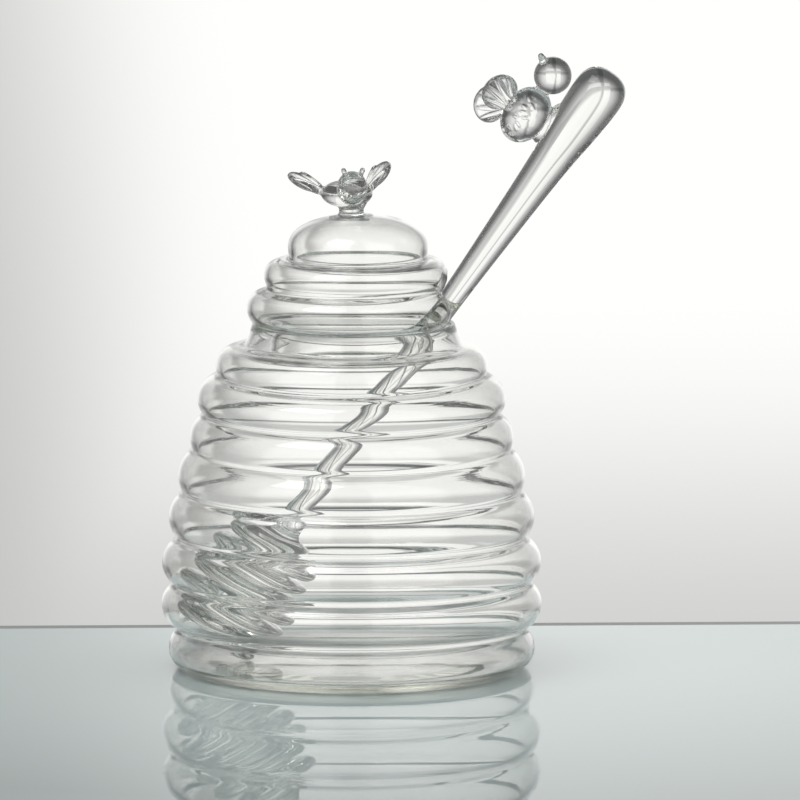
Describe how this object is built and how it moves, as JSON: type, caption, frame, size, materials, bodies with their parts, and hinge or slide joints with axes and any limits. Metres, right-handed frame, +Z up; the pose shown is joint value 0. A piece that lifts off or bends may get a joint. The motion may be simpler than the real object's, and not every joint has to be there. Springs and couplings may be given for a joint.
{
  "type": "honey pot",
  "caption": "Clear blown-glass honey pot shaped like a ringed beehive, with a lift-off notched lid, a bee knob and a leaning glass honey dipper.",
  "frame": {"origin": "centre of the jar's flat base, on the table", "axes": "+Z up along the jar's axis; +X towards the side that the dipper leans to; -Y is the front, which the bee on the lid faces"},
  "size_m": [0.1317, 0.1088, 0.1762],
  "materials": {
    "blown_glass": "clear fire-polished blown borosilicate glass, 1.4 mm thick",
    "solid_glass": "clear fire-polished solid borosilicate glass with a faint yellow-green tint in its depth"
  },
  "bodies": {
    "jar": {"jar": "blown_glass"},
    "lid": {"lid_shell": "blown_glass", "lid_knob_post": "solid_glass", "lid_bee_body": "solid_glass", "lid_bee_head": "solid_glass", "lid_bee_left_wing": "solid_glass", "lid_bee_right_wing": "solid_glass", "lid_bee_left_feeler": "solid_glass", "lid_bee_right_feeler": "solid_glass"},
    "dipper": {"dipper_head": "solid_glass", "dipper_handle": "solid_glass", "dipper_bee_pad": "solid_glass", "dipper_bee_body": "solid_glass", "dipper_bee_head": "solid_glass", "dipper_bee_left_wing": "solid_glass", "dipper_bee_right_wing": "solid_glass", "dipper_bee_left_feeler": "solid_glass", "dipper_bee_right_feeler": "solid_glass"}
  },
  "joints": [
    {"name": "lid_lift", "type": "slide", "parent": "jar", "child": "lid", "axis": [0, 0, 1], "range_m": [0, 0.1]},
    {"name": "dipper_draw", "type": "slide", "parent": "jar", "child": "dipper", "axis": [0.578, 0, 0.816], "range_m": [0, 0.05]}
  ]
}
